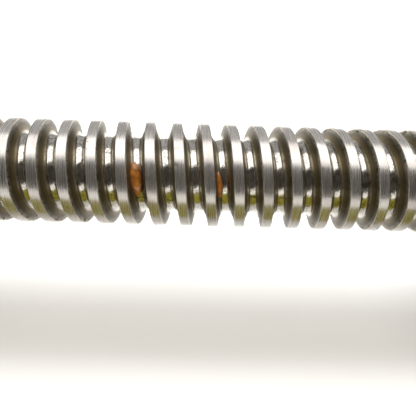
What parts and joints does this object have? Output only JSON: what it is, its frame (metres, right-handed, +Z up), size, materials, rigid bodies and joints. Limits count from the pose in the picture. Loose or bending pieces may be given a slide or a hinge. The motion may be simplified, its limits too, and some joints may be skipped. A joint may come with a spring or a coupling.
{
  "type": "ball screw assembly",
  "caption": "Right-hand ball screw carried in two pillow blocks, with a flanged recirculating ball nut that travels along it as it turns.",
  "frame": {"origin": "centre of the fixed block's base face, straight below the screw's axis", "axes": "+X along the screw from the driven end to the far end, +Z up from the blocks' base faces"},
  "size_m": [0.264, 0.062, 0.0542],
  "materials": {
    "ground_screw": "finely ground, circumferential grain",
    "nut_steel": "ground, satin",
    "tube_steel": "drawn tube, bright",
    "ball_steel": "polished",
    "bearing_steel": "polished rings",
    "collar_steel": "turned, oiled",
    "blacked_block": "black oxide, satin",
    "black_screws": "black oxide",
    "spring_steel": "phosphated spring steel",
    "nipple_brass": "zinc-yellow, worn",
    "wiper_plastic": "matte acetal",
    "seal_rubber": "matte black",
    "cage_steel": "pressed steel, oiled",
    "grease": "old amber grease, wet and partly clear"
  },
  "bodies": {
    "supports": {"fixed_housing": "blacked_block", "fixed_lid": "blacked_block", "lid_bolt_1": "black_screws", "lid_bolt_2": "black_screws", "lid_bolt_3": "black_screws", "lid_bolt_4": "black_screws", "outboard_seal": "seal_rubber", "inboard_seal": "seal_rubber", "fixed_bearing_1_outer_ring": "bearing_steel", "fixed_bearing_2_outer_ring": "bearing_steel", "far_housing": "blacked_block", "far_bearing_outer_ring": "bearing_steel", "far_bore_circlip": "spring_steel"},
    "screw": {"screw_shaft": "ground_screw", "lock_nut": "collar_steel", "lock_nut_set_screw_1": "black_screws", "lock_nut_set_screw_2": "black_screws", "outboard_collar": "collar_steel", "inboard_collar": "collar_steel", "fixed_bearing_1_inner_ring": "bearing_steel", "fixed_bearing_2_inner_ring": "bearing_steel", "far_bearing_inner_ring": "bearing_steel", "far_shaft_circlip": "spring_steel"},
    "nut": {"nut_body": "nut_steel", "ball_train_1": "ball_steel", "ball_train_2": "ball_steel", "return_tube_1": "tube_steel", "return_tube_2": "tube_steel", "tube_clamp": "tube_steel", "clamp_screw_1": "black_screws", "clamp_screw_2": "black_screws", "flange_wiper": "wiper_plastic", "tail_wiper": "wiper_plastic", "flange_wiper_circlip": "spring_steel", "tail_wiper_circlip": "spring_steel", "grease_fitting": "nipple_brass"},
    "fixed_cage_1": {"fixed_bearing_1_balls_and_cage": "ball_steel"},
    "fixed_cage_2": {"fixed_bearing_2_balls_and_cage": "ball_steel"},
    "far_cage": {"far_bearing_balls_and_cage": "ball_steel"}
  },
  "joints": [
    {"name": "nut_travel", "type": "slide", "parent": "supports", "child": "nut", "axis": [1, 0, 0], "range_m": [0, 0.11]},
    {"name": "screw_spin", "type": "hinge", "parent": "supports", "child": "screw", "pos_m": [0, 0, 0.025], "axis": [-1, 0, 0], "range_deg": [0, 7925]},
    {"name": "fixed_cage_spin_1", "type": "hinge", "parent": "supports", "child": "fixed_cage_1", "pos_m": [-0.0022, 0, 0.025], "axis": [-1, 0, 0], "range_deg": [-5, 3200]},
    {"name": "fixed_cage_spin_2", "type": "hinge", "parent": "supports", "child": "fixed_cage_2", "pos_m": [0.0059, 0, 0.025], "axis": [-1, 0, 0], "range_deg": [-5, 3200]},
    {"name": "far_cage_spin", "type": "hinge", "parent": "supports", "child": "far_cage", "pos_m": [0.204, 0, 0.025], "axis": [-1, 0, 0], "range_deg": [-5, 3200]}
  ],
  "couplings": [
    {"joint": "screw_spin", "follows": "nut_travel", "rad_per_m": 1256.6},
    {"joint": "fixed_cage_spin_1", "follows": "nut_travel", "rad_per_m": 485.06},
    {"joint": "fixed_cage_spin_2", "follows": "nut_travel", "rad_per_m": 485.06},
    {"joint": "far_cage_spin", "follows": "nut_travel", "rad_per_m": 469.98}
  ]
}
